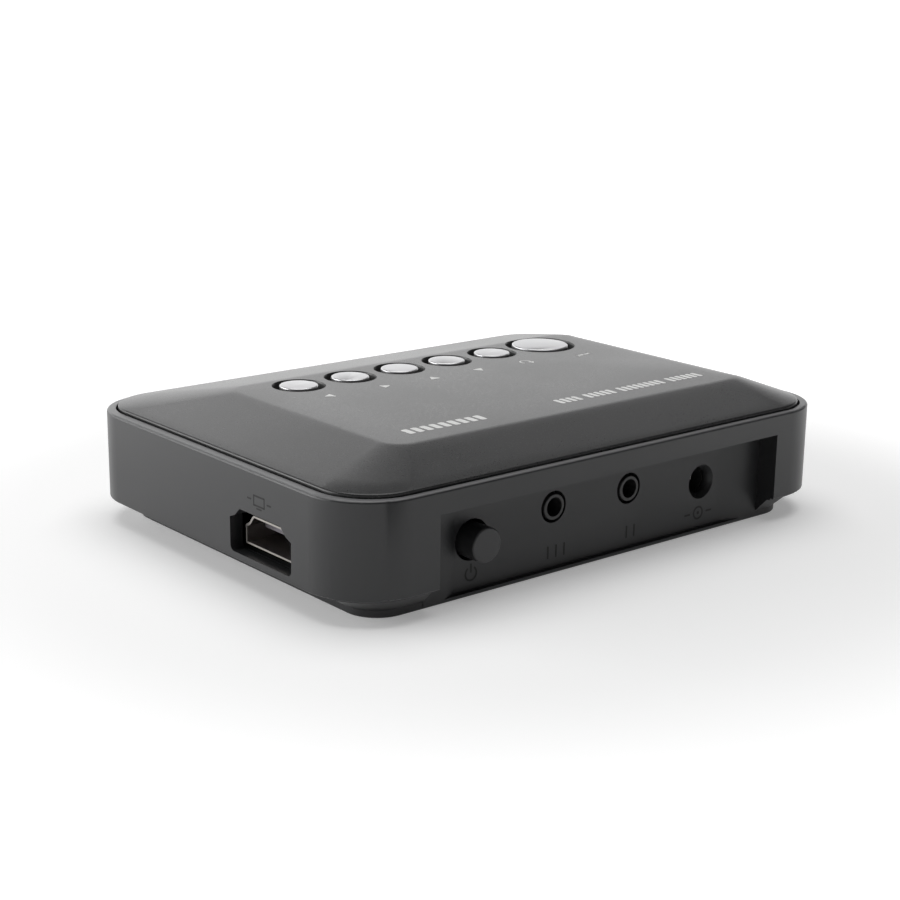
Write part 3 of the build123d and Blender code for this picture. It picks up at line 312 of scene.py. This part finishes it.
screen_y, screen_z = 17.3 * MM, 17.1 * MM
picture_sign = [
    wall_dash(screen_y, screen_z + 0.85 * MM, 3.2 * MM, 0.32 * MM),
    wall_dash(screen_y, screen_z - 0.85 * MM, 3.2 * MM, 0.32 * MM),
    wall_dash(screen_y - 1.6 * MM, screen_z, 0.32 * MM, 2.0 * MM),
    wall_dash(screen_y + 1.6 * MM, screen_z, 0.32 * MM, 2.0 * MM),
    wall_dash(screen_y, screen_z - 1.35 * MM, 1.6 * MM, 0.3 * MM),
    wall_dash(screen_y - 3.0 * MM, screen_z, 1.3 * MM, 0.32 * MM),
    wall_dash(screen_y + 3.0 * MM, screen_z, 1.3 * MM, 0.32 * MM),
]
settle(picture_sign, "mark_picture_socket", mark_groove_shade, "casing")

# ---------------------------------------------------------------------------------------
# Main board: glass-epoxy sheet with green solder mask over copper tracks, hung from the
# lid by four small steel screws, with its chips, sink, memory, coils and cans.
board_place, board_vary = start_finish("circuit_board", Coat_Weight=0.3, Coat_Roughness=0.2)
tracks = board_place.node(
    "ShaderNodeTexBrick",
    {"offset": 0.5, "squash": 1.0},
    {"Vector": board_place, "Scale": 380.0, "Mortar Size": 0.012, "Color1": tone(0),
     "Color2": tone(0), "Mortar": tone(1)},
)
vias = board_place.node(
    "ShaderNodeTexVoronoi", {"feature": "F1"},
    {"Vector": board_place, "Scale": 420.0, "Randomness": 0.7},
)
via_spot = 1 - vias.step(0.10, 0.16)
mask_green = board_place.noise(3 * MM).mix(tone(0.006, 0.05, 0.022), tone(0.010, 0.075, 0.034))
solder_mask = tracks.mix(mask_green, tone(0.016, 0.13, 0.055))
circuit_board = board_vary(
    Base_Color=via_spot.mix(solder_mask, tone(0.55, 0.47, 0.30)),
    Metallic=via_spot * 0.8,
    Roughness=board_place.noise(2 * MM) * 0.15 + 0.3,
    Normal=(tracks + via_spot).bump(0.02 * MM),
)
dress("main_board key_board", circuit_board)


def brushed_metal(name, shade, rough, streak, **fixed):
    """Bare or plated metal: fine streaks along one way, stains and worn spots."""
    place, vary = start_finish(name, Metallic=1.0, **fixed)
    drawn = place.node("ShaderNodeVectorMath", {"operation": "MULTIPLY"}, {0: place, 1: streak})
    lines = drawn.noise(0.25 * MM, 3.0)
    stain = place.noise(2.5 * MM, 3.0)
    darker = tone(*[value * 0.82 for value in shade[:3]])
    return vary(
        Base_Color=(lines * 0.6 + stain * 0.4).mix(darker, shade),
        Roughness=stain * 0.14 + lines * 0.08 + (rough - 0.11),
        Normal=lines.bump(0.002 * MM),
    )


screw_steel = brushed_metal("screw_steel", tone(0.50, 0.50, 0.51), 0.34, (1, 1, 0.2))
dress("main_board_screws key_board_screws", screw_steel)
chip_epoxy = moulded_plastic("chip_epoxy", tone(0.018), 0.5, 0.08 * MM, 0.004 * MM, 0.3)
dress("processor memory_chips flash_chip", chip_epoxy)
dress("heat_sink", brushed_metal("sink_aluminium", tone(0.66, 0.67, 0.69), 0.36, (0.1, 1, 1)))
can_place, can_vary = start_finish("can_metal", Metallic=1.0)
can_grain = can_place.noise(0.3 * MM)
can_metal = can_vary(
    Base_Color=can_grain.mix(tone(0.58), tone(0.72)), Roughness=can_grain * 0.15 + 0.25
)
dress("capacitors clock_crystal", can_metal)
coil_ferrite = moulded_plastic(
    "coil_ferrite", tone(0.03, 0.029, 0.028), 0.62, 0.2 * MM, 0.01 * MM, 0.3
)
dress("power_coils", coil_ferrite)

# ---------------------------------------------------------------------------------------
# Ribbon lead: flat flexible film with bonded copper lanes between two nylon sockets. It
# joins the main board to the key board and folds up under the lid.
film_place, film_vary = start_finish("ribbon_film", Coat_Weight=0.4)
LANE_PITCH = 1.0 * MM
lane = (film_place.axis("X") * (1 / LANE_PITCH)).maths("FRACT")
lane_edge = lane.step(0.42, 0.5) * (1 - lane.step(0.92, 1.0))
ribbon_film = film_vary(
    Base_Color=lane_edge.mix(tone(0.62, 0.62, 0.60), tone(0.42, 0.40, 0.36)),
    Roughness=film_place.noise(1.5 * MM) * 0.12 + 0.34,
    Normal=lane_edge.bump(0.03 * MM),
)
dress("ribbon_cable", ribbon_film)
insulator_plastic = moulded_plastic(
    "insulator_plastic", tone(0.012, 0.012, 0.013), 0.42, 0.1 * MM, 0.003 * MM, 0.3
)
dress("ribbon_sockets", insulator_plastic)

# ---------------------------------------------------------------------------------------
# Picture socket, data socket and card socket: shells folded from tin-plated steel round
# nylon tongues, soldered under the two ends of the main board.
shell_steel = brushed_metal("shell_steel", tone(0.44, 0.415, 0.39), 0.32, (0.15, 1, 1))
dress("display_socket_shell usb_socket_shell card_socket_shell", shell_steel)
dress("usb_socket_tongue card_socket_base", insulator_plastic)
tongue_plastic = moulded_plastic(
    "tongue_plastic", tone(0.20, 0.185, 0.21), 0.35, 0.1 * MM, 0.002 * MM
)
dress("display_socket_tongue", tongue_plastic)

# ---------------------------------------------------------------------------------------
# Stereo jacks: black-grey nylon bodies whose round noses come through the panel; the bores and a ring
# round them are coloured near black, a painted shade. The power inlet is of the same nylon, round a
# plated pin.
JACK_MIDDLE_X, JACK_HALF_PITCH, JACK_Z = 1.6 * MM, 9.5 * MM, 12.3 * MM
jack_place, jack_vary = start_finish("jack_plastic")
off_x = (jack_place.axis("X") - JACK_MIDDLE_X).maths("ABSOLUTE") - JACK_HALF_PITCH
off_z = jack_place.axis("Z") - JACK_Z
from_axis = (off_x * off_x + off_z * off_z).maths("SQRT")
# painted shade: near black within about 2 mm of each stereo jack's axis, a wider dark disc than the
# bore itself
jack_bore_painted_shade = 1 - from_axis.step(2.0 * MM, 2.15 * MM)
jack_grain = jack_place.noise(0.14 * MM)
jack_plastic = jack_vary(
    Base_Color=jack_bore_painted_shade.mix(jack_grain.mix(tone(0.020), tone(0.027)), tone(0.001)),
    Roughness=jack_grain * 0.1 + jack_bore_painted_shade * 0.4 + 0.37,
    Normal=jack_grain.bump(0.003 * MM),
)
dress("stereo_jack_a stereo_jack_b dc_jack_body", jack_plastic)
pin_metal = brushed_metal("pin_metal", tone(0.72, 0.71, 0.69), 0.22, (1, 0.2, 1))
dress("dc_jack_pin", pin_metal)

# ---------------------------------------------------------------------------------------
# Power button: a satin grey cap on a black stem, which slides into its switch.
power_key_plastic = moulded_plastic(
    "power_key_plastic", tone(0.030, 0.0305, 0.032), 0.4, 0.14 * MM, 0.004 * MM
)
dress("power_key", power_key_plastic)
switch_plastic = moulded_plastic("switch_plastic", tone(0.02), 0.45, 0.1 * MM, 0.003 * MM, 0.3)
dress("power_switch_body key_switch_bodies", switch_plastic)
plunger_plastic = moulded_plastic(
    "plunger_plastic", tone(0.55, 0.54, 0.50), 0.4, 0.1 * MM, 0.003 * MM
)
KEY_NUMBERS = range(1, 7)
plungers = " ".join(f"switch_plunger_{number}" for number in KEY_NUMBERS)
dress("power_switch_stem " + plungers, plunger_plastic)

# ---------------------------------------------------------------------------------------
# Side frame: the band round the case, moulded in the same charcoal plastic, with a finely grained
# wall and a smooth flat along its top edge, coloured much lighter as a painted highlight.
frame_place, frame_vary = start_finish("frame_plastic", IOR=1.5)
frame_cloud = frame_place.noise(14 * MM, 3.0)
frame_grain = frame_place.noise(0.22 * MM, 2.0, 0.6)
# painted highlight: the band's top flat is coloured far lighter than the wall, for the light it
# reflects
rim_painted_highlight = frame_place.axis("Z").step(21.85 * MM, 22.1 * MM)
wall_shade = (frame_cloud * 0.5 + frame_grain * 0.5).mix(
    tone(0.0211, 0.0216, 0.0229), tone(0.0269, 0.0274, 0.0291)
)
frame_plastic = frame_vary(
    Base_Color=rim_painted_highlight.mix(wall_shade, tone(0.135, 0.135, 0.138)),
    Roughness=frame_cloud * 0.10 + frame_grain * 0.06 + 0.29,
    Normal=(frame_grain * (1 - rim_painted_highlight)).bump(0.006 * MM),
)
dress("side_frame", frame_plastic)

# ---------------------------------------------------------------------------------------
# Remote window, its receiver and the status lamp, in the wall behind the keys: smoked
# acrylic pressed into the frame, with two epoxy parts behind it.
glass_place, glass_vary = start_finish("window_acrylic", IOR=1.49, Coat_Weight=0.5)
glass_haze = glass_place.noise(1.2 * MM)
window_acrylic = glass_vary(
    Base_Color=glass_haze.mix(tone(0.010, 0.004, 0.005), tone(0.018, 0.008, 0.010)),
    Roughness=glass_haze * 0.06 + 0.05,
)
dress("ir_window", window_acrylic)
receiver_epoxy = moulded_plastic(
    "receiver_epoxy", tone(0.02, 0.018, 0.022), 0.2, 0.3 * MM, 0.001 * MM
)
dress("ir_receiver", receiver_epoxy)
led_epoxy = moulded_plastic("led_epoxy", tone(0.35, 0.42, 0.55), 0.15, 0.3 * MM, 0.001 * MM)
dress("status_led", led_epoxy)

# ---------------------------------------------------------------------------------------
# Lid: charcoal paint with a fine metal fleck over moulded ABS, a raised flat with soft slopes to the
# frame, and one dished well round each key, coloured near black as a painted shade.
cover_place, cover_vary = start_finish("cover_paint", IOR=1.5)
cover_cloud = cover_place.noise(22 * MM, 3.0)
cover_grain = cover_place.noise(0.34 * MM, 2.0, 0.65)
fleck = cover_place.node(
    "ShaderNodeTexVoronoi", {"feature": "F1"}, {"Vector": cover_place, "Scale": 1 / (0.45 * MM)}
)
fleck_spot = 1 - fleck.step(0.10, 0.22)
cover_shade = (cover_cloud * 0.25 + cover_grain * 0.75).mix(
    tone(0.009, 0.0092, 0.0096), tone(0.030, 0.0303, 0.031)
)
KEY_ROW_Y = -20.5 * MM
row_off = cover_place.axis("Y") - KEY_ROW_Y
sunk = 1 - cover_place.axis("Z").step(24.7 * MM, 25.1 * MM)
along_row = 1 - cover_place.axis("X").step(32.0 * MM, 33.0 * MM)
near_row = 1 - (row_off * row_off).step(0.00005, 0.00006)
# painted shade: the key wells are coloured near black and made rougher, for the shade that falls in
# them
key_well_painted_shade = sunk * along_row * near_row
painted = (fleck_spot * 0.6).mix(cover_shade, tone(0.13, 0.13, 0.135))
cover_paint = cover_vary(
    Base_Color=key_well_painted_shade.mix(painted, tone(0.003)),
    Roughness=cover_grain * 0.14 + cover_cloud * 0.06 + key_well_painted_shade * 0.35 + 0.20,
    Normal=cover_grain.bump(0.011 * MM),
)
dress("top_cover", cover_paint)

# ---------------------------------------------------------------------------------------
# White print on the lid: one pad-printed sign behind each key, and two plain rows of
# upright bars where a maker would put words.
LID_Z = 25.3 * MM
INK = 0.03 * MM
ink_place, ink_vary = start_finish("white_ink", Specular_IOR_Level=0.3)
ink_wear = ink_place.noise(0.5 * MM, 3.0)
white_ink = ink_vary(
    Base_Color=ink_wear.mix(tone(0.62, 0.62, 0.61), tone(0.86, 0.86, 0.85)),
    Roughness=ink_wear * 0.15 + 0.42,
)


def ink_bar(x, y, length, width, round_off=0.45):
    """A bar of ink on the lid, in millimetres, with its corners rounded."""
    return block((x * MM, y * MM, LID_Z), (length * MM, width * MM, INK), "Z", width * MM * round_off)


ARROWS = ((25.2, -10.0, 0), (11.9, -9.9, 180), (-0.3, -9.6, 270), (-12.7, -10.1, 90))
for number, (x, y, way) in enumerate(ARROWS):
    arrow = wedge((x * MM, y * MM, LID_Z), way, 1.35 * MM, INK)
    settle([arrow], f"print_arrow_{number + 1}", white_ink, "casing")
hook = [
    arc(
        (-25.2 * MM, -9.7 * MM, LID_Z), (1, 0, 0), (0, 1, 0), 1.15 * MM, 0.34 * MM, INK, 150, 250
    ),
    wedge((-26.2 * MM, -8.8 * MM, LID_Z), 80, 0.8 * MM, INK),
]
settle(hook, "print_return", white_ink, "casing")
select_sign = [
    ink_bar(-38.9, -7.6, 2.0, 0.6),
    ink_bar(-41.3, -7.7, 1.9, 0.6),
    ink_bar(-38.2, -7.3, 0.5, 1.3),
    ink_bar(-42.0, -8.0, 0.5, 1.3),
]
settle(select_sign, "print_select", white_ink, "casing")
short_row = [ink_bar(29.8 - 2.1 * i, 20.1, 1.35, 3.1, 0.12) for i in range(9)]
settle(short_row, "print_short_row", white_ink, "casing")
long_row = [
    ink_bar(start - 1.55 * i, 20.0, 1.0, 3.0, 0.12)
    for start, count in ((-7.2, 4), (-14.8, 5), (-23.9, 8), (-37.8, 6))
    for i in range(count)
]
settle(long_row, "print_long_row", white_ink, "casing")

# ---------------------------------------------------------------------------------------
# Keys: round caps, vacuum-plated in satin silver, each on its own plunger.
key_place, key_vary = start_finish("key_silver", Metallic=1.0)
key_grain = key_place.noise(0.3 * MM, 2.0)
key_cloud = key_place.noise(3 * MM, 2.0)
key_silver = key_vary(
    Base_Color=key_cloud.mix(tone(0.62, 0.62, 0.63), tone(0.69, 0.69, 0.70)),
    Roughness=key_grain * 0.08 + key_cloud * 0.05 + 0.30,
    Normal=key_grain.bump(0.002 * MM),
)
dress(" ".join(f"key_cap_{number}" for number in KEY_NUMBERS), key_silver)

# ---------------------------------------------------------------------------------------
# Case screws: black-zinc steel, driven up through the base into the lid's posts.
case_screw_steel = brushed_metal("case_screw_steel", tone(0.10, 0.10, 0.11), 0.36, (1, 1, 0.2))
dress("case_screws", case_screw_steel)

# ---------------------------------------------------------------------------------------
# Studio: a wide pale floor under a low bright backdrop, one large soft lamp overhead and a softer one
# at the left. The floor keeps the soft shadow; its added brightness is weaker close to the case, a
# painted shade round it.
begin_piece()
bpy.ops.mesh.primitive_plane_add(size=60)
floor = bpy.context.object
floor.name = "floor"
bpy.ops.object.mode_set(mode="EDIT")
bpy.ops.mesh.subdivide(number_cuts=8)
bpy.ops.object.mode_set(mode="OBJECT")
floor_place, floor_vary = start_finish("floor_paper", Specular_IOR_Level=0.0)
floor_tree = floor_place.tree
paper = floor_place.noise(0.3).mix(tone(0.80), tone(0.82))
floor_material = floor_vary(Base_Color=paper, Roughness=floor_place.noise(0.05) * 0.1 + 0.6)
path = floor_place.node("ShaderNodeLightPath", out="Is Camera Ray")
seen = path + Wire(floor_tree, path.socket.node.outputs["Is Glossy Ray"]) + Wire(
    floor_tree, path.socket.node.outputs["Is Transmission Ray"]
)
reach = floor_place.node("ShaderNodeVectorMath", {"operation": "LENGTH"}, {0: floor_place}, out=1)
# painted shade: the added floor brightness is weaker within about 17 cm of the case; farther out it
# rises to keep the backdrop evenly white
floor_lift_and_painted_near_shade = reach.step(0.085, 0.17) * 0.36 + reach.step(0.3, 1.2) * 0.6 + 0.26
lift = floor_place.node("ShaderNodeEmission", {}, {"Color": tone(1), "Strength": seen * floor_lift_and_painted_near_shade})
floor_shader = Wire(floor_tree, floor_tree.nodes["Principled BSDF"].outputs[0])
both = floor_place.node("ShaderNodeAddShader", {}, {0: floor_shader, 1: lift})
floor_tree.links.new(both.socket, floor_tree.nodes["Material Output"].inputs["Surface"])
floor.data.materials.append(floor_material)

world = bpy.data.worlds.new("studio")
bpy.context.scene.world = world
world.use_nodes = True
sky_tree = world.node_tree
way = Wire(sky_tree, sky_tree.nodes.new("ShaderNodeTexCoord").outputs["Generated"])
height = way.axis("Z") + way.axis("Y") * 0.5
glow = height.step(-0.06, 0.13).mix(tone(1.5), tone(0.09))
sky_path = way.node("ShaderNodeLightPath", out="Is Camera Ray")
seen_sky = sky_path.mix(glow, tone(1.0))
background = sky_tree.nodes["Background"]
sky_tree.links.new(seen_sky.socket, background.inputs["Color"])
background.inputs["Strength"].default_value = 1.0


def soft_lamp(name, place, aim, size, power):
    """An area lamp at a place, turned to face its aim."""
    light = bpy.data.lights.new(name, "AREA")
    light.shape, light.size, light.size_y, light.energy = "RECTANGLE", size[0], size[1], power
    lamp = bpy.data.objects.new(name, light)
    bpy.context.collection.objects.link(lamp)
    lamp.location = place
    lamp.rotation_euler = (Vector(aim) - Vector(place)).to_track_quat("-Z", "Y").to_euler()
    return lamp


soft_lamp("lamp_over", (-0.1, -0.1, 1.0), (0, 0, 0), (1.0, 1.0), 7.2)
soft_lamp("lamp_left", (0.9, -0.7, 0.35), (0, 0, 0.02), (0.9, 0.7), 7.0)

camera_data = bpy.data.cameras.new("camera")
camera_data.sensor_width, camera_data.lens, camera_data.clip_start = 36, 70.572, 0.01
camera = bpy.data.objects.new("camera", camera_data)
bpy.context.collection.objects.link(camera)
camera.matrix_world = Matrix((
    (-0.76966609, -0.16129222, 0.61773694, 0.219256218),
    (0.63831371, -0.21414500, 0.73938997, 0.258542885),
    (0.01302743, 0.96339334, 0.26777519, 0.106603453),
    (0, 0, 0, 1),
))
bpy.context.scene.camera = camera
bpy.context.scene.view_settings.view_transform = "Standard"
